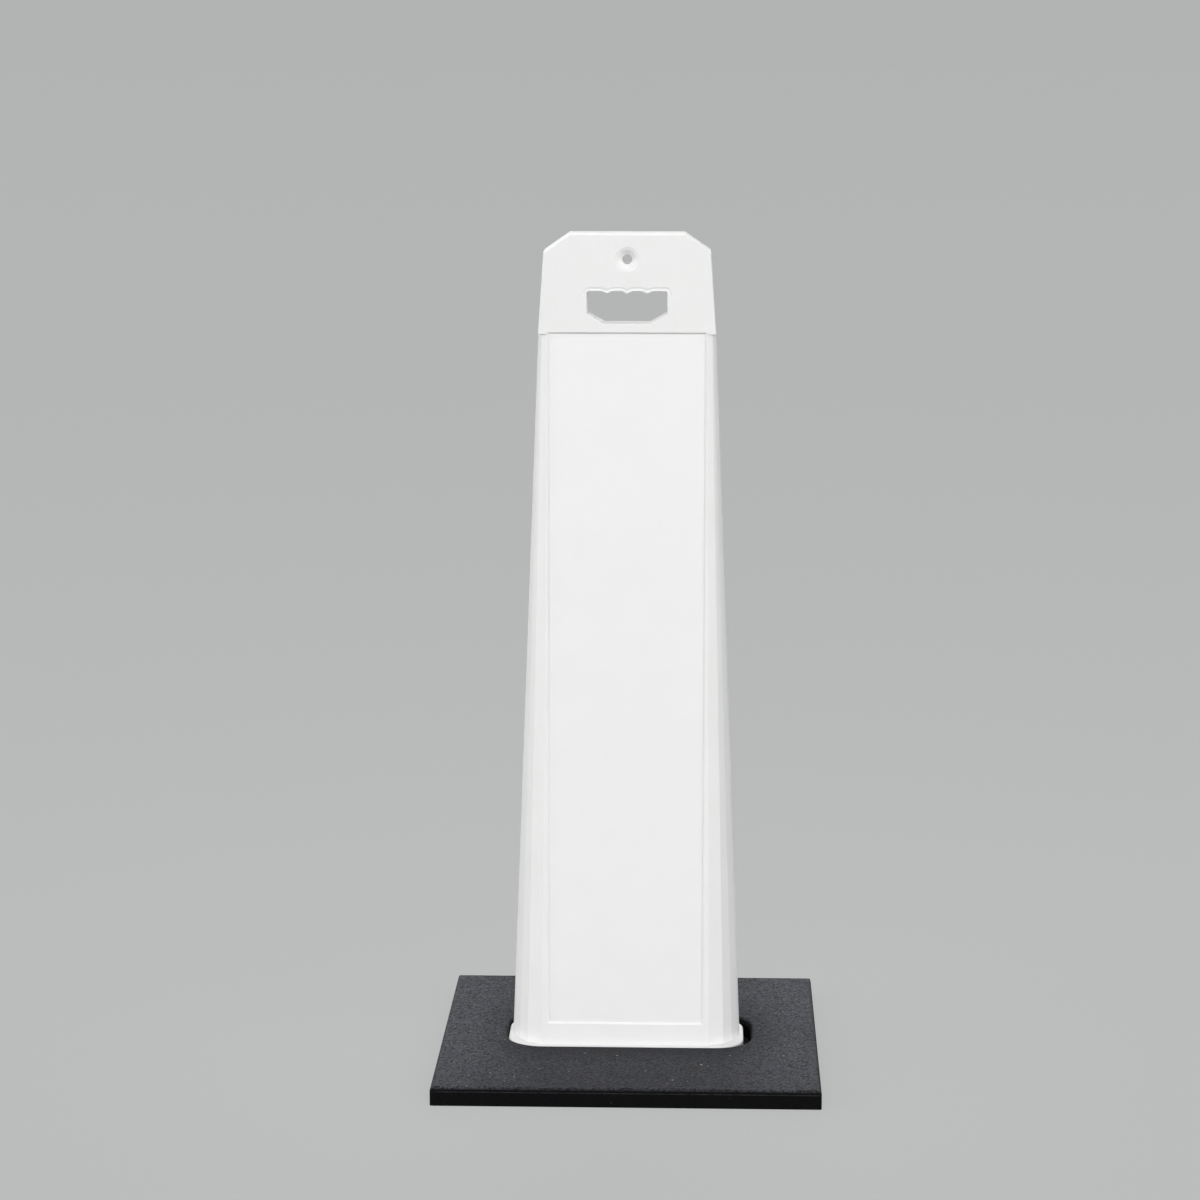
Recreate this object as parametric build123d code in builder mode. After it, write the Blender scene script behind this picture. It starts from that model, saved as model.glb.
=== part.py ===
"""Stand sign: a hollow, tapered road panel with a carry handle, standing in a rubber ballast base.

The frame is in millimetres with +Z up. The origin is on the ground, under the middle of the base, and the
front of the sign faces -Y.
"""

import os
from math import asin, atan2, cos, radians, sin, tan

from build123d import *

# Sign sheet and the recess that holds it
sheet_width = 203.2
sheet_height = 914.4
sheet_thickness = 0.5
sheet_corner_radius = 6.0
sheet_side_margin = 0.8
sheet_end_margin = 6.3
recess_depth = 2.5
recess_slope = 42.0
recess_rim = 0.6
recess_overrun = 2.6
sill_height = 29.3

# Facets between the flat front and the side edge, from front to side:
# the angle each one is turned away from the front, and how far it runs sideways at the foot and the shoulder
facet_turns = (31.0, 55.0, 68.0, 79.0)
foot_runs = (19.7, 11.4, 7.9, 2.6)
shoulder_runs = (6.5, 2.0, 2.3, 1.35)
front_width_gain = 15.2
wall = 4.0

# Head above the recess
head_height = 132.6
head_step = 0.3
head_side_lean = 3.9
head_corner_width = 34.0
head_corner_height = 23.5
head_corner_radius = 5.0
head_edge_radius = 2.5
head_bevel_depth = 5.6
head_bevel_slope = 29.0

# Carry handle: an opening with ridges between the fingers along its top, under a shallow groove
finger_count = 4
finger_pitch = 26.4
ridge_width = 12.8
ridge_height = 3.6
ridge_crest_radius = 5.0
ridge_root_radius = 7.0
handle_height = 42.3
handle_lift = 14.0
handle_cut_width = 23.0
handle_cut_height = 13.0
handle_corner_radius = 3.0
handle_edge_radius = 1.0
groove_rim = 1.1
groove_width = 4.8
groove_depth = 0.6
groove_crest_radius = 3.0
groove_tail = 4.5

# Lamp bolt hole near the top of the head, with a conical seat in a shallow sunk ring on each side
lamp_hole_drop = 34.7
lamp_bore = 13.0
lamp_ring_mouth = 32.0
lamp_ring_bevel = 0.8
lamp_ring_depth = 0.5
lamp_seat_mouth = 25.2
lamp_seat_lip = 0.9
lamp_seat_depth = 4.9

# Ballast base
base_side = 508.0
base_thickness = 25.4
base_corner_radius = 3.0
base_edge_radius = 5.0
parting_drop = 6.4
parting_ledge = 0.4
slot_corner_radius = 50.0

# Foot of the panel, in the slot of the base
foot_drop = 3.3
foot_side_ledge = 5.1
foot_front_ledge = 8.0
foot_edge_radius = 2.0
slot_play = 5.5
slot_rest_gap = 0.5
flange_lip = 22.0
flange_thickness = 6.0
flange_corner_radius = 12.0
flange_headroom = 0.5

# How far an edge may lie from the place by which it is picked
leeway = 0.01


def half_depth(runs):
    """Distance from the panel's middle plane to its front, where the facets run as far as given."""
    return sum(run * tan(radians(turn)) for run, turn in zip(runs, facet_turns))


# Sizes that follow from those above
recess_spread = 2 * recess_depth * tan(radians(recess_slope))
recess_width = sheet_width + 2 * sheet_side_margin + recess_spread
recess_height = sheet_height + 2 * sheet_end_margin + recess_spread
shoulder_front_half = recess_width / 2 + recess_rim
foot_front_half = shoulder_front_half + front_width_gain / 2
foot_half_depth = half_depth(foot_runs)
shoulder_half_depth = half_depth(shoulder_runs)
foot_half_width = foot_front_half + sum(foot_runs)
shoulder_half_width = shoulder_front_half + sum(shoulder_runs)

front_length = sill_height + recess_height - recess_overrun
front_lean = asin((foot_half_depth - shoulder_half_depth) / front_length)
foot_top = base_thickness - foot_drop
shoulder_top = foot_top + front_length * cos(front_lean)
panel_top = shoulder_top + head_height

foot_length = 2 * (foot_half_width + foot_side_ledge)
foot_width = 2 * (foot_half_depth + foot_front_ledge)
foot_corner_radius = slot_corner_radius - slot_play
slot_length = foot_length + 2 * slot_play
slot_width = foot_width + 2 * slot_play
flange_length = foot_length - 2 * foot_corner_radius
flange_width = foot_width + 2 * flange_lip

half_handle = finger_count * finger_pitch / 2
handle_bottom = shoulder_top + handle_lift
handle_top = handle_bottom + handle_height
crest_height = handle_top - ridge_height
lamp_height = panel_top - lamp_hole_drop

# The panel stands to the left in its loose slot, as the base came to rest when it was dropped over it
panel_shift = slot_rest_gap - slot_play
panel_ground = Plane((panel_shift, 0, 0))
panel_middle = Plane((panel_shift, 0, 0), x_dir=(1, 0, 0), z_dir=(0, -1, 0))
front_face = Plane(
    (panel_shift, -foot_half_depth, foot_top),
    x_dir=(1, 0, 0),
    z_dir=(0, -cos(front_lean), sin(front_lean)),
)
recess_floor = front_face.offset(-recess_depth)
recess_middle = sill_height + recess_height / 2
lamp_mouth = Plane((panel_shift, -shoulder_half_depth, lamp_height))


def section(front_half, runs, inset=0.0):
    """Corners of a level section through the panel, with every facet moved inward by the inset."""
    x, y = front_half, -half_depth(runs)
    turns = (0.0, *facet_turns, 180.0 - facet_turns[-1])
    quarter = []
    for before, after, run in zip(turns, turns[1:], (*runs, 0.0)):
        a, b = radians(before), radians(after)
        shrink = inset / (1 + cos(b - a))
        quarter.append((x - shrink * (sin(a) + sin(b)), y + shrink * (cos(a) + cos(b))))
        x += run
        y += run * tan(b)
    right = quarter + [(x, -y) for x, y in reversed(quarter[:-1])]
    left = [(-x, y) for x, y in reversed(right)]
    return right + left


def head_outline(gain=0.0, inset=0.0):
    """Draw the head as seen from the front, with its sides and bottom moved out or all of it moved in."""
    lean = tan(radians(head_side_lean))
    fall = head_corner_height / head_corner_width
    corner_top = panel_top - head_corner_height
    bottom_half = shoulder_half_width - head_step
    corner_half = bottom_half - (corner_top - shoulder_top) * lean
    shift = gain / (1 - fall * lean)
    right = [
        (bottom_half + gain * (1 + lean), shoulder_top - gain),
        (corner_half + shift, corner_top - shift * fall),
        (corner_half - head_corner_width, panel_top),
    ]
    left = [(-x, z) for x, z in reversed(right)]
    outline = Polygon(*right, *left, align=None)
    if inset:
        offset(amount=-inset, kind=Kind.INTERSECTION, mode=Mode.REPLACE)
    else:
        fillet(outline.vertices().filter_by(lambda v: v.Y > shoulder_top + leeway), radius=head_corner_radius)


def handle_rim(shell):
    """Edges of the handle opening on the head's front."""
    edges = shell.edges().filter_by(lambda e: abs(e.center().Y + shoulder_half_depth) < leeway)
    edges = edges.filter_by(lambda e: abs(e.center().X - panel_shift) < half_handle + leeway)
    return edges.filter_by(lambda e: handle_bottom - leeway < e.center().Z < handle_top + leeway)


# Bevel along the top of the head, drawn with wider sides so that it leaves those of the head alone
bevel_start = shoulder_half_depth - head_bevel_depth
with BuildPart() as head_bevel:
    with BuildSketch(panel_middle):
        head_outline(gain=head_bevel_depth)
    extrude(amount=bevel_start)
    with BuildSketch(panel_middle.offset(bevel_start)):
        head_outline(gain=head_bevel_depth)
    extrude(amount=head_bevel_depth, taper=head_bevel_slope)

# Front half of the head, solid, with rounded sides
with BuildPart() as head:
    with BuildSketch(panel_middle):
        head_outline()
    extrude(amount=shoulder_half_depth)
    head_rim = head.faces().sort_by(Axis.Y)[0].edges()
    fillet(head_rim.filter_by(lambda e: e.center().Z > shoulder_top + leeway), radius=head_edge_radius)
    add(head_bevel.part, mode=Mode.INTERSECT)

# Space inside the head, which leaves a full wall behind the rounded sides and the bevel
with BuildPart() as head_core:
    with BuildSketch(panel_middle):
        head_outline(inset=wall + head_edge_radius)
    extrude(amount=shoulder_half_depth - wall, both=True)

# Outline of the carry handle: a slot with its lower corners cut off, less a ridge between each two fingers
handle_corners = [
    (half_handle, handle_top),
    (half_handle, handle_bottom + handle_cut_height),
    (half_handle - handle_cut_width, handle_bottom),
    (handle_cut_width - half_handle, handle_bottom),
    (-half_handle, handle_bottom + handle_cut_height),
    (-half_handle, handle_top),
]
ridge_places = [i * finger_pitch - half_handle for i in range(1, finger_count)]
with BuildSketch(panel_middle) as handle_outline:
    ridges = []
    for x in ridge_places:
        ridges += [(x - ridge_width / 2, handle_top), (x, crest_height), (x + ridge_width / 2, handle_top)]
    Polygon(*handle_corners, *ridges, align=None)
    upper = handle_outline.vertices().filter_by(lambda v: v.Y > crest_height - leeway)
    crests = upper.filter_by(lambda v: v.Y < crest_height + leeway)
    fillet(crests, radius=ridge_crest_radius)
    upper = handle_outline.vertices().filter_by(lambda v: v.Y > handle_top - leeway)
    roots = upper.filter_by(lambda v: abs(v.X) < half_handle - leeway)
    fillet(roots, radius=ridge_root_radius)
    upper = handle_outline.vertices().filter_by(lambda v: v.Y > handle_top - leeway)
    upper_corners = upper.filter_by(lambda v: abs(v.X) > half_handle - leeway)
    fillet(upper_corners, radius=handle_corner_radius)

# Groove above the grip: its line, which follows the ridges and the upper corners, and its section
groove_offset = groove_rim + groove_width / 2
groove_height = handle_top + groove_offset
groove_half = half_handle + groove_offset
ridge_slope = atan2(ridge_height, ridge_width / 2)
groove_root = ridge_width / 2 - groove_offset * tan(ridge_slope / 2)
groove_crest = crest_height + groove_offset / cos(ridge_slope)
root_radius = ridge_root_radius + groove_offset
corner_radius = handle_corner_radius + groove_offset
with BuildLine(panel_middle.offset(shoulder_half_depth)) as groove_line:
    stops = [(-groove_half, handle_top - groove_tail), (-groove_half, groove_height)]
    for x in ridge_places:
        stops += [(x - groove_root, groove_height), (x, groove_crest), (x + groove_root, groove_height)]
    stops += [(groove_half, groove_height), (groove_half, handle_top - groove_tail)]
    ridge_radii = [root_radius, groove_crest_radius, root_radius] * len(ridge_places)
    FilletPolyline(*stops, radius=[corner_radius, *ridge_radii, corner_radius])
with BuildSketch(Plane(groove_line.line @ 0, x_dir=(0, -1, 0), z_dir=(0, 0, 1))) as groove_section:
    Polygon(
        (0, -groove_width / 2),
        (-groove_depth, 0),
        (0, groove_width / 2),
        (groove_depth, groove_width / 2),
        (groove_depth, -groove_width / 2),
        align=None,
    )

# Foot of the panel: a plug in the slot of the base, with a flange in front and behind under the base
with BuildPart() as foot:
    with BuildSketch(panel_ground):
        RectangleRounded(flange_length, flange_width, flange_corner_radius)
    extrude(amount=flange_thickness)
    with BuildSketch(panel_ground):
        RectangleRounded(foot_length, foot_width, foot_corner_radius)
    extrude(amount=foot_top)
    fillet(foot.faces().sort_by(Axis.Z)[-1].edges(), radius=foot_edge_radius)

# Front half of the panel, a hollow shell that is open at the bottom
with BuildPart() as front_shell:
    with BuildSketch(panel_ground.offset(foot_top)):
        Polygon(*section(foot_front_half, foot_runs), align=None)
    with BuildSketch(panel_ground.offset(shoulder_top)):
        Polygon(*section(shoulder_front_half, shoulder_runs), align=None)
    loft(ruled=True)
    add(head.part)
    add(foot.part)

    # Hollow inside
    with BuildSketch(panel_ground.offset(foot_top)) as mouth:
        Polygon(*section(foot_front_half, foot_runs, inset=wall), align=None)
    with BuildSketch(panel_ground.offset(shoulder_top)) as neck:
        Polygon(*section(shoulder_front_half, shoulder_runs, inset=wall), align=None)
    loft(ruled=True, mode=Mode.SUBTRACT)
    extrude(mouth.sketch, amount=-foot_top, mode=Mode.SUBTRACT)
    extrude(neck.sketch, amount=2 * (wall + head_edge_radius), mode=Mode.SUBTRACT)
    add(head_core.part, mode=Mode.SUBTRACT)

    # Walls behind the sign recess, round the handle and round the lamp bolt hole
    with BuildSketch(recess_floor.offset(-wall)):
        with Locations((0, recess_middle)):
            Rectangle(recess_width, recess_height)
    extrude(amount=wall)
    with BuildSketch(panel_middle):
        Polygon(*handle_corners, align=None)
        offset(amount=wall)
    extrude(amount=shoulder_half_depth)
    with BuildSketch(panel_middle):
        with Locations((0, lamp_height)):
            Circle(lamp_ring_mouth / 2 + wall)
    extrude(amount=shoulder_half_depth)

    # Sign recess with sloping sides
    with BuildSketch(front_face) as recess_mouth:
        with Locations((0, recess_middle)):
            Rectangle(recess_width, recess_height)
    extrude(amount=-recess_depth, taper=recess_slope, mode=Mode.SUBTRACT)
    extrude(recess_mouth.sketch, amount=recess_depth, mode=Mode.SUBTRACT)

    # Handle opening with a rounded rim and a groove above it
    with BuildSketch(panel_middle):
        add(handle_outline.sketch_local)
    extrude(amount=shoulder_half_depth, mode=Mode.SUBTRACT)
    fillet(handle_rim(front_shell), radius=handle_edge_radius)
    sweep(groove_section.sketch, path=groove_line.line, mode=Mode.SUBTRACT)

    # Lamp bolt hole and its seat, turned about the hole's axis
    with BuildSketch(lamp_mouth):
        Polygon(
            (0, 0),
            (lamp_ring_mouth / 2, 0),
            (lamp_ring_mouth / 2 - lamp_ring_bevel, lamp_ring_depth),
            (lamp_seat_mouth / 2, lamp_seat_lip),
            (lamp_bore / 2, lamp_seat_depth),
            (lamp_bore / 2, shoulder_half_depth),
            (0, shoulder_half_depth),
            align=None,
        )
    revolve(axis=Axis(lamp_mouth.origin, (0, 1, 0)), mode=Mode.SUBTRACT)

    split(bisect_by=Plane.XZ, keep=Keep.TOP)

front_shell.part.label = "front_shell"

with BuildPart() as rear_shell:
    mirror(front_shell.part, about=Plane.XZ)
rear_shell.part.label = "rear_shell"

# Sign sheet in the front recess, and its twin behind
with BuildPart() as front_sign_sheet:
    with BuildSketch(recess_floor):
        with Locations((0, recess_middle)):
            RectangleRounded(sheet_width, sheet_height, sheet_corner_radius)
    extrude(amount=sheet_thickness)
front_sign_sheet.part.label = "front_sign_sheet"

with BuildPart() as rear_sign_sheet:
    mirror(front_sign_sheet.part, about=Plane.XZ)
rear_sign_sheet.part.label = "rear_sign_sheet"

# Rubber base: a plate with a slot, parted all round a little below its rounded upper edges
parting_height = base_thickness - parting_drop
upper_side = base_side - 2 * parting_ledge
with BuildPart() as rubber_base:
    with BuildSketch():
        RectangleRounded(base_side, base_side, base_corner_radius)
        RectangleRounded(slot_length, slot_width, slot_corner_radius, mode=Mode.SUBTRACT)
    extrude(amount=parting_height)
    with BuildSketch(Plane.XY.offset(parting_height)):
        Rectangle(upper_side, upper_side)
        RectangleRounded(
            slot_length + 2 * parting_ledge,
            slot_width + 2 * parting_ledge,
            slot_corner_radius + parting_ledge,
            mode=Mode.SUBTRACT,
        )
    extrude(amount=parting_drop)
    fillet(rubber_base.faces().sort_by(Axis.Z)[-1].edges(), radius=base_edge_radius)
    with BuildSketch():
        RectangleRounded(
            flange_length + 2 * slot_play, flange_width + 2 * slot_play, flange_corner_radius + slot_play
        )
    extrude(amount=flange_thickness + flange_headroom, mode=Mode.SUBTRACT)
rubber_base.part.label = "rubber_base"

os.makedirs("parts", exist_ok=True)
for piece in (front_shell, rear_shell, front_sign_sheet, rear_sign_sheet, rubber_base):
    export_step(piece.part, f"parts/{piece.part.label}.step")
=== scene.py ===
"""Looks of the stand sign: materials, light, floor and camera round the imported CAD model.

Metres, in the frame of the CAD model: +Z is up and the front of the sign faces -Y.
"""

from math import cos, radians, sin

import bpy
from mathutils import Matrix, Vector

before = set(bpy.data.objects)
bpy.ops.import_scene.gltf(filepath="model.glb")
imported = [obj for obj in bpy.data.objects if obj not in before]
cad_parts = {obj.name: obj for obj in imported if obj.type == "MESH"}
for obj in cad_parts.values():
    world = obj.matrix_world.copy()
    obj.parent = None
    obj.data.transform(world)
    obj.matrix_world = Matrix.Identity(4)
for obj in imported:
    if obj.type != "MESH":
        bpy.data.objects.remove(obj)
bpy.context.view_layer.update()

scene = bpy.context.scene

# Camera that fits the photograph, which is taken as 1200 by 1200 pixels
photo_width = 1200.0
focal_pixels = 3362.704
camera_place = (0.104132, -4.418770, 1.423387)
camera_pitch = 10.276
camera_yaw = 1.882
camera_reach = 1000.0
sensor_width = 36.0

# Grey of the studio as it is seen, far off and at the sign's foot, where it is lighter as painted light, and
# how far out it is half way between
far_grey = (0.444, 0.454, 0.449)
near_painted_light_grey = (0.523, 0.535, 0.529)
grey_half_way = 2.0

# Floor: how far it reaches to each side, the grey in which it throws light back, and the share of its look
# at the sign's foot that takes shadow
floor_reach = 60.0
bounce_grey = (0.12, 0.12, 0.12)
shadow_share = 0.2

# Floor in the slot of the base, painted dark as shade: its grey, half its sides, its round corners and its
# soft edge
slot_shade_grey = (0.03, 0.03, 0.03)
slot_half = (0.165, 0.0745)
slot_radius = 0.05
slot_blur = 0.012

# Soft suns: bearing from the front and height above the floor in degrees, the angle that the light
# spreads over, its power in watts per square metre, and whether it shows in reflections
suns = {
    "front_sun": (0, 10, 60, 1.80, True),
    "left_sun": (-50, 10, 60, 1.08, True),
    "right_sun": (50, 10, 60, 2.18, True),
    "far_left_sun": (-90, 8, 60, 1.85, True),
    "top_sun": (180, 70, 90, 1.46, True),
    "back_sun": (180, 8, 40, 2.00, False),
}

# Range in which most of a noise lies
noise_range = (0.35, 0.65)

# Radius by which plastic and rubber soften their sharp edges, and the rays spent on it
edge_radius = 0.0008
edge_samples = 6

# Moulded plastic: its whites, the sizes of its mottle, waves and grain, and the depths of waves and grain
plastic_whites = ((0.822, 0.822, 0.818), (0.838, 0.838, 0.834))
plastic_mottle_size = 0.06
plastic_wave_size = 0.014
plastic_wave_depth = 0.00012
plastic_grain_size = 0.0008
plastic_grain_depth = 0.00003
plastic_uneven_range = (0.3, 1.5)
plastic_roughness = (0.4, 0.56)
plastic_ior = 1.5

# Upright rub marks on the plastic: their colour, how strong and large they are, and the noise that shows them
rub_colour = (0.79, 0.788, 0.78)
rub_share = 0.3
rub_size = 0.004
rub_stretch = (1.0, 1.0, 9.0)
rub_range = (0.62, 0.72)

# Sign film: its whites, the sizes of its mottle, waves and beads, and the depths of waves and beads
film_whites = ((0.836, 0.836, 0.836), (0.846, 0.846, 0.846))
film_mottle_size = 0.05
film_mottle_range = (0.3, 0.7)
film_wave_size = 0.03
film_wave_stretch = (1.0, 1.0, 3.0)
film_wave_depth = 0.00015
film_bead_size = 0.0006
film_bead_depth = 0.00002
film_roughness = (0.30, 0.36)
film_ior = 1.5

# Crumb rubber: its granules, its colours where it is dull, scuffed grey partly painted as light from above,
# or at a side painted darker than the rubber as shade, each between two tints, and how far a surface faces up
# where the side's colour turns into the top's
granule_size = 0.0022
granule_depth = 0.0004
tint_size = 0.02
dull_blacks = ((0.0115, 0.012, 0.0145), (0.013, 0.0125, 0.014))
scuffed_and_lit_greys = ((0.117, 0.125, 0.143), (0.124, 0.125, 0.139))
shaded_side_blacks = ((0.0005, 0.0005, 0.0008), (0.0035, 0.0035, 0.0042))
top_facing = (0.2, 1.0)
rubber_roughness = (0.6, 0.8)
rubber_ior = 1.15

# Pale specks in the rubber: their colours, the picks that make a granule one, and how strong they are at the
# sides, faint under the painted shade there, and on top
speck_colours = ((0.42, 0.42, 0.40), (0.30, 0.27, 0.14), (0.14, 0.19, 0.26), (0.26, 0.14, 0.11))
speck_picks = (0.998, 0.9981)
speck_strength = (0.05, 0.8)

# Share of the rubber's top that is grey, less where shade of the panel is painted: how far from the middle it
# turns full beside the panel, how it rises before and behind the panel, and how it rises from the front to
# the rear
beside_panel = (0.12, 0.22)
off_panel = (0.07, 0.15)
off_panel_shade = (0.22, 0.66)
front_to_rear = (-0.25, 0.1)
front_to_rear_shade = (0.75, 1.06)

# Highlight painted along the parting ledge of the base: its height, half its width, its soft edge, its
# colour, and the size and strength of its uneven stretches
seam_height = 0.019
seam_half = 0.0004
seam_blur = 0.0005
seam_highlight_colour = (0.024, 0.024, 0.026)
seam_patch_size = 0.01
seam_highlight_range = (0.3, 1.0)


def add_node(tree, kind, inputs=None, **settings):
    """Add a shader node with its settings. An input given as a socket is linked, any other is set."""
    made = tree.nodes.new(kind)
    for name, value in settings.items():
        setattr(made, name, value)
    for name, value in (inputs or {}).items():
        if isinstance(value, bpy.types.NodeSocket):
            tree.links.new(value, made.inputs[name])
        else:
            made.inputs[name].default_value = value
    return made


def calculate(tree, operation, *values):
    """Work out a value from others."""
    return add_node(tree, "ShaderNodeMath", dict(enumerate(values)), operation=operation).outputs["Value"]


def calculate_vector(tree, operation, *vectors):
    """Work out a vector from others."""
    inputs = dict(enumerate(vectors))
    return add_node(tree, "ShaderNodeVectorMath", inputs, operation=operation).outputs["Vector"]


def length(tree, vector):
    """Length of a vector."""
    return add_node(tree, "ShaderNodeVectorMath", {0: vector}, operation="LENGTH").outputs["Value"]


def axes(tree, vector):
    """A vector's X, Y and Z."""
    return add_node(tree, "ShaderNodeSeparateXYZ", {"Vector": vector}).outputs


def object_place(tree, stretch=(1.0, 1.0, 1.0)):
    """Coordinates in metres, in the frame of the CAD model, divided by a stretch along each axis."""
    place = add_node(tree, "ShaderNodeTexCoord").outputs["Object"]
    return calculate_vector(tree, "MULTIPLY", place, [1 / share for share in stretch])


def noise(tree, place, size, detail=2.0):
    """Noise with lumps of about the given size in metres."""
    inputs = {"Vector": place, "Scale": 1 / size, "Detail": detail}
    return add_node(tree, "ShaderNodeTexNoise", inputs).outputs["Fac"]


def cells(tree, place, size):
    """Cells of about the given size in metres: the distance from each one's middle, and its own colour."""
    return add_node(tree, "ShaderNodeTexVoronoi", {"Vector": place, "Scale": 1 / size}).outputs


def remap(tree, value, from_low, from_high, low=0.0, high=1.0):
    """Carry a value from one range to another, and stop at the ends."""
    inputs = {"Value": value, "From Min": from_low, "From Max": from_high, "To Min": low, "To Max": high}
    return add_node(tree, "ShaderNodeMapRange", inputs).outputs["Result"]


def mix_value(tree, share, first, second):
    """Blend two values by a share."""
    return add_node(tree, "ShaderNodeMix", {0: share, 2: first, 3: second}).outputs[0]


def mix_colour(tree, share, first, second):
    """Blend two colours by a share."""
    made = add_node(tree, "ShaderNodeMix", {0: share}, data_type="RGBA")
    for index, colour in ((6, first), (7, second)):
        if isinstance(colour, bpy.types.NodeSocket):
            tree.links.new(colour, made.inputs[index])
        else:
            made.inputs[index].default_value = (*colour, 1.0)
    return made.outputs[2]


def bump(tree, height, depth, normal):
    """Raise a surface by a height of 0 to 1 times a depth in metres."""
    inputs = {"Height": height, "Strength": 1.0, "Distance": depth, "Normal": normal}
    return add_node(tree, "ShaderNodeBump", inputs).outputs["Normal"]


def soft_edges(tree):
    """Normals that round each sharp edge."""
    return add_node(tree, "ShaderNodeBevel", {"Radius": edge_radius}, samples=edge_samples).outputs["Normal"]


def new_material(name):
    """Make an empty material and give it with its node tree and its output node."""
    material = bpy.data.materials.new(name)
    material.use_nodes = True
    tree = material.node_tree
    tree.nodes.clear()
    return material, tree, add_node(tree, "ShaderNodeOutputMaterial")


def finish_material(tree, output, inputs):
    """End a material in one principled shader."""
    shader = add_node(tree, "ShaderNodeBsdfPrincipled", inputs)
    tree.links.new(shader.outputs["BSDF"], output.inputs["Surface"])


def moulded_plastic():
    """White moulded polyethylene: satin, finely grained and slightly wavy, with faint rub marks."""
    material, tree, output = new_material("moulded_plastic")
    place = object_place(tree)
    mottle = noise(tree, place, plastic_mottle_size, detail=4.0)
    rubs = remap(tree, noise(tree, object_place(tree, rub_stretch), rub_size), *rub_range)
    clean = mix_colour(tree, remap(tree, mottle, *noise_range), *plastic_whites)
    wavy = bump(tree, noise(tree, place, plastic_wave_size), plastic_wave_depth, soft_edges(tree))
    uneven = calculate(tree, "ADD", mottle, rubs)
    inputs = {
        "Base Color": mix_colour(tree, calculate(tree, "MULTIPLY", rubs, rub_share), clean, rub_colour),
        "Roughness": remap(tree, uneven, *plastic_uneven_range, *plastic_roughness),
        "Normal": bump(tree, noise(tree, place, plastic_grain_size), plastic_grain_depth, wavy),
        "IOR": plastic_ior,
    }
    finish_material(tree, output, inputs)
    return material


def sign_film():
    """Blank white sign film: smoother than the panel, with fine beads and the slight waves of a sheet."""
    material, tree, output = new_material("sign_film")
    place = object_place(tree)
    mottle = noise(tree, place, film_mottle_size, detail=3.0)
    waves = noise(tree, object_place(tree, film_wave_stretch), film_wave_size)
    normal = add_node(tree, "ShaderNodeNewGeometry").outputs["Normal"]
    wavy = bump(tree, waves, film_wave_depth, normal)
    beads = cells(tree, place, film_bead_size)["Distance"]
    inputs = {
        "Base Color": mix_colour(tree, remap(tree, mottle, *noise_range), *film_whites),
        "Roughness": remap(tree, mottle, *film_mottle_range, *film_roughness),
        "Normal": bump(tree, beads, film_bead_depth, wavy),
        "IOR": film_ior,
    }
    finish_material(tree, output, inputs)
    return material


def rubber_painted_shade(tree, place):
    """About 1 beside the panel, and less before and behind it and towards the front, where shade of the panel
    is painted.
    """
    parts = axes(tree, place)
    beside = remap(tree, calculate(tree, "ABSOLUTE", parts["X"]), *beside_panel)
    panel_shadow = remap(tree, calculate(tree, "ABSOLUTE", parts["Y"]), *off_panel, *off_panel_shade)
    rearward = remap(tree, parts["Y"], *front_to_rear, *front_to_rear_shade)
    return calculate(tree, "MULTIPLY", mix_value(tree, beside, panel_shadow, 1.0), rearward)


def parting_seam_highlight(tree, place):
    """Up to 1 on the parting line of the base, where its highlight is painted unevenly, and 0 off it."""
    above = calculate(tree, "SUBTRACT", axes(tree, place)["Z"], seam_height)
    line = remap(tree, calculate(tree, "ABSOLUTE", above), seam_half, seam_half + seam_blur, 1.0, 0.0)
    uneven_strength = remap(tree, noise(tree, place, seam_patch_size), *noise_range, *seam_highlight_range)
    return calculate(tree, "MULTIPLY", line, uneven_strength)


def speck_colour(tree, pick):
    """One of the speck colours, by a pick of 0 to 1."""
    ramp = add_node(tree, "ShaderNodeValToRGB", {"Fac": pick})
    ramp.color_ramp.interpolation = "CONSTANT"
    stops = ramp.color_ramp.elements
    for index, colour in enumerate(speck_colours):
        position = index / len(speck_colours)
        stop = stops[index] if index < len(stops) else stops.new(position)
        stop.position = position
        stop.color = (*colour, 1.0)
    return ramp.outputs["Color"]


def crumb_rubber():
    """Pressed rubber crumb: matt granules, painted darker than the rubber's black at the sides as shade, and
    scuffed grey on top, partly painted light, with pale specks.
    """
    material, tree, output = new_material("crumb_rubber")
    place = object_place(tree)
    granules = cells(tree, place, granule_size)
    picks = add_node(tree, "ShaderNodeSeparateColor", {"Color": granules["Color"]}).outputs
    facing_up = axes(tree, add_node(tree, "ShaderNodeTexCoord").outputs["Normal"])["Z"]
    tint = remap(tree, noise(tree, place, tint_size), *noise_range)
    dull = mix_colour(tree, tint, *dull_blacks)
    scuffed_and_lit = mix_colour(tree, tint, *scuffed_and_lit_greys)
    # Shade of the panel is painted on the top by giving fewer granules the grey before and behind it and
    # towards the front
    top = mix_colour(tree, calculate(tree, "MULTIPLY", picks["Red"], rubber_painted_shade(tree, place)), dull, scuffed_and_lit)
    # The sides take a black darker than the rubber's own, as painted shade, and the top a grey that is partly
    # painted light
    side = mix_colour(tree, picks["Red"], *shaded_side_blacks)
    crumb = mix_colour(tree, remap(tree, facing_up, *top_facing), side, top)
    crumb = mix_colour(tree, parting_seam_highlight(tree, place), crumb, seam_highlight_colour)
    pale = remap(tree, picks["Green"], *speck_picks)
    shown = remap(tree, facing_up, 0.0, 1.0, *speck_strength)
    specks = calculate(tree, "MULTIPLY", pale, shown)
    inputs = {
        "Base Color": mix_colour(tree, specks, crumb, speck_colour(tree, picks["Blue"])),
        "Roughness": remap(tree, picks["Red"], 0.0, 1.0, *rubber_roughness),
        "Normal": bump(tree, granules["Distance"], -granule_depth, soft_edges(tree)),
        "IOR": rubber_ior,
    }
    finish_material(tree, output, inputs)
    return material


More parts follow.
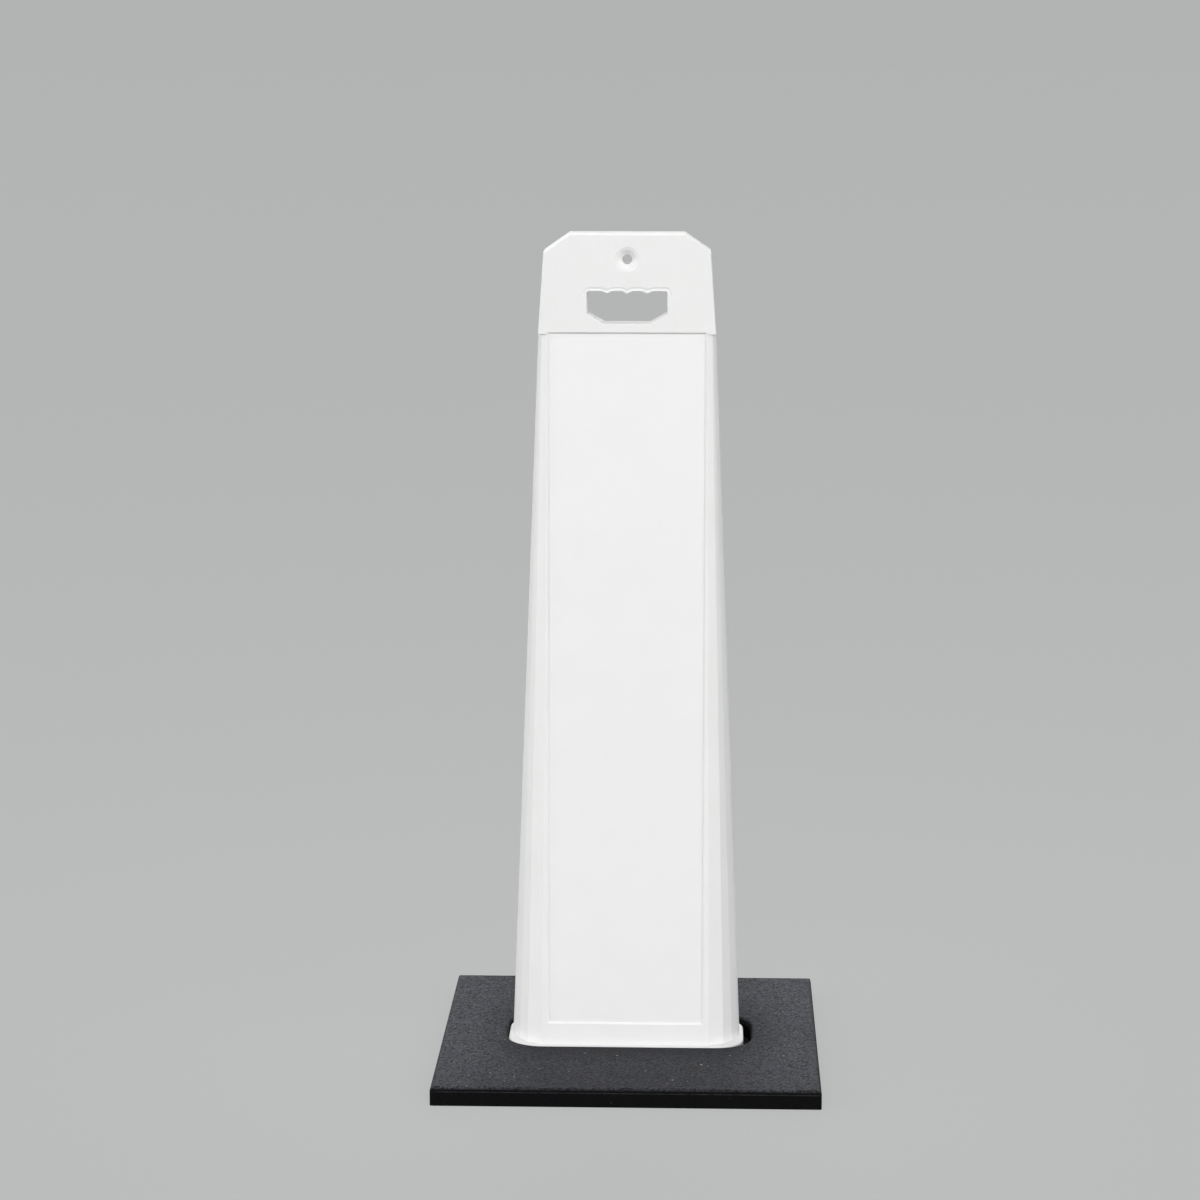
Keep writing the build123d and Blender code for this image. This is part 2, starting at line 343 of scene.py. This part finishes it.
def seen_rays(tree):
    """1 for rays that show a surface directly, in a reflection or through glass, and 0 for rays of light."""
    rays = add_node(tree, "ShaderNodeLightPath").outputs
    seen = rays["Is Camera Ray"]
    for name in ("Is Glossy Ray", "Is Transmission Ray"):
        seen = calculate(tree, "MAXIMUM", seen, rays[name])
    return seen


def outside_slot_shade(tree):
    """0 on the floor in the slot of the base, where shade is painted, a rectangle with round corners, and 1
    outside it.
    """
    core = [half - slot_radius for half in slot_half] + [0.0]
    from_middle = calculate_vector(tree, "ABSOLUTE", object_place(tree))
    from_core = calculate_vector(tree, "SUBTRACT", from_middle, core)
    past_core = calculate_vector(tree, "MAXIMUM", from_core, (0.0, 0.0, 0.0))
    return remap(tree, length(tree, past_core), slot_radius, slot_radius + slot_blur)


def floor_material():
    """The studio's grey where the floor is seen, lighter near the sign as painted light, partly lit so that
    it takes shadow, and painted dark as shade in the slot.
    """
    material, tree, output = new_material("floor")
    distance = length(tree, object_place(tree))
    fall = calculate(tree, "MULTIPLY_ADD", distance, 1 / grey_half_way, 1.0)
    nearness = calculate(tree, "DIVIDE", 1.0, fall)
    # The floor is painted lighter towards the sign's foot, as a pool of light
    grey = mix_colour(tree, nearness, far_grey, near_painted_light_grey)
    seen = seen_rays(tree)
    unshaded_floor = outside_slot_shade(tree)
    # In the slot the floor is painted dark as shade and gives off none of the studio's grey
    lit_colour = mix_colour(tree, unshaded_floor, slot_shade_grey, mix_colour(tree, seen, bounce_grey, grey))
    lit = add_node(tree, "ShaderNodeBsdfDiffuse", {"Color": lit_colour}).outputs["BSDF"]
    own = add_node(tree, "ShaderNodeEmission", {"Color": grey, "Strength": 1.0}).outputs["Emission"]
    even = remap(tree, nearness, 0.0, 1.0, 1.0, 1.0 - shadow_share)
    share = calculate(tree, "MULTIPLY", calculate(tree, "MULTIPLY", seen, even), unshaded_floor)
    mix = add_node(tree, "ShaderNodeMixShader", {0: share, 1: lit, 2: own})
    tree.links.new(mix.outputs["Shader"], output.inputs["Surface"])
    return material


def make_floor():
    """A plain pale floor that fills the picture."""
    mesh = bpy.data.meshes.new("floor")
    sides = (-floor_reach, floor_reach)
    mesh.from_pydata([(x, y, 0.0) for x in sides for y in sides], [], [(0, 2, 3, 1)])
    mesh.materials.append(floor_material())
    floor = bpy.data.objects.new("floor", mesh)
    scene.collection.objects.link(floor)


def make_world():
    """The grey of the studio where it is seen. It gives no light of its own."""
    world = bpy.data.worlds.new("studio")
    scene.world = world
    world.use_nodes = True
    tree = world.node_tree
    tree.nodes.clear()
    grey = add_node(tree, "ShaderNodeBackground", {"Color": (*far_grey, 1.0), "Strength": seen_rays(tree)})
    output = add_node(tree, "ShaderNodeOutputWorld")
    tree.links.new(grey.outputs["Background"], output.inputs["Surface"])


def make_lamps():
    """Soft suns round the sign."""
    for name, (bearing, height, spread, power, reflected) in suns.items():
        data = bpy.data.lights.new(name, "SUN")
        data.energy = power
        data.angle = radians(spread)
        lamp = bpy.data.objects.new(name, data)
        lamp.visible_glossy = reflected
        scene.collection.objects.link(lamp)
        turn, rise = radians(bearing), radians(height)
        towards_sun = Vector((sin(turn) * cos(rise), -cos(turn) * cos(rise), sin(rise)))
        lamp.rotation_euler = towards_sun.to_track_quat("Z", "Y").to_euler()


def make_camera():
    """The camera at the photograph's place and angle."""
    data = bpy.data.cameras.new("camera")
    data.sensor_width = sensor_width
    data.lens = sensor_width * focal_pixels / photo_width
    data.clip_end = camera_reach
    camera = bpy.data.objects.new("camera", data)
    scene.collection.objects.link(camera)
    camera.location = camera_place
    camera.rotation_euler = (radians(90.0 - camera_pitch), 0.0, radians(camera_yaw))
    scene.camera = camera


plastic = moulded_plastic()
film = sign_film()
node_materials = {
    "front_shell": plastic,
    "rear_shell": plastic,
    "front_sign_sheet": film,
    "rear_sign_sheet": film,
    "rubber_base": crumb_rubber(),
}
for node, material in node_materials.items():
    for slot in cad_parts[node].material_slots:
        slot.material = material

make_floor()
make_world()
make_lamps()
make_camera()
scene.view_settings.view_transform = "Standard"
